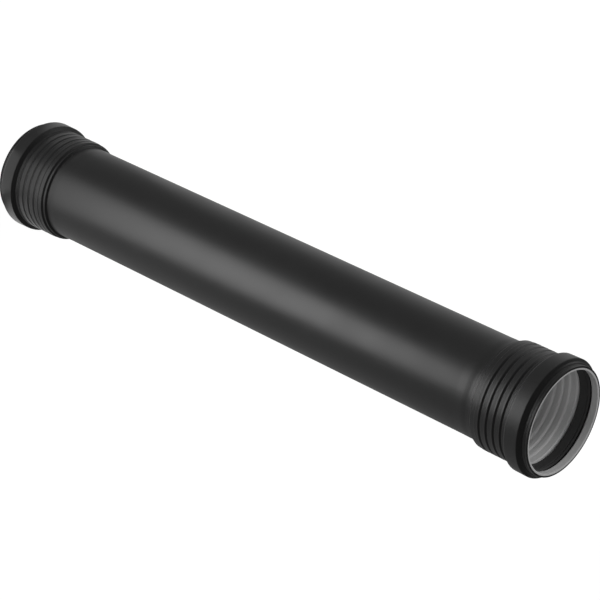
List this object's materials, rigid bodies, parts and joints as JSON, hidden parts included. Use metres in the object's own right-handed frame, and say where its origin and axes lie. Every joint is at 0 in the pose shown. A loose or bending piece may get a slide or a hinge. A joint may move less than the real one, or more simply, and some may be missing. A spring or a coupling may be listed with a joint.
{
  "type": "socketed drain pipe",
  "caption": "Straight black drain pipe with a formed push-fit socket at each end, ribbed barrels, a light inner layer and a rubber lip seal seated in each socket.",
  "frame": {"origin": "centre of the lower socket's lip, on the plane that the pipe stands on", "axes": "+Z along the pipe's axis, from the lower socket to the upper socket; the part is round, so X and Y are free"},
  "size_m": [0.1298, 0.1298, 0.782],
  "materials": {
    "pipe_plastic": "satin black extruded polypropylene, with a light grey inner layer that shows inside the sockets and on the lips",
    "seal_rubber": "smooth matt black rubber"
  },
  "bodies": {
    "root": {"socketed_pipe": "pipe_plastic", "top_seal": "seal_rubber", "bottom_seal": "seal_rubber"}
  },
  "joints": []
}
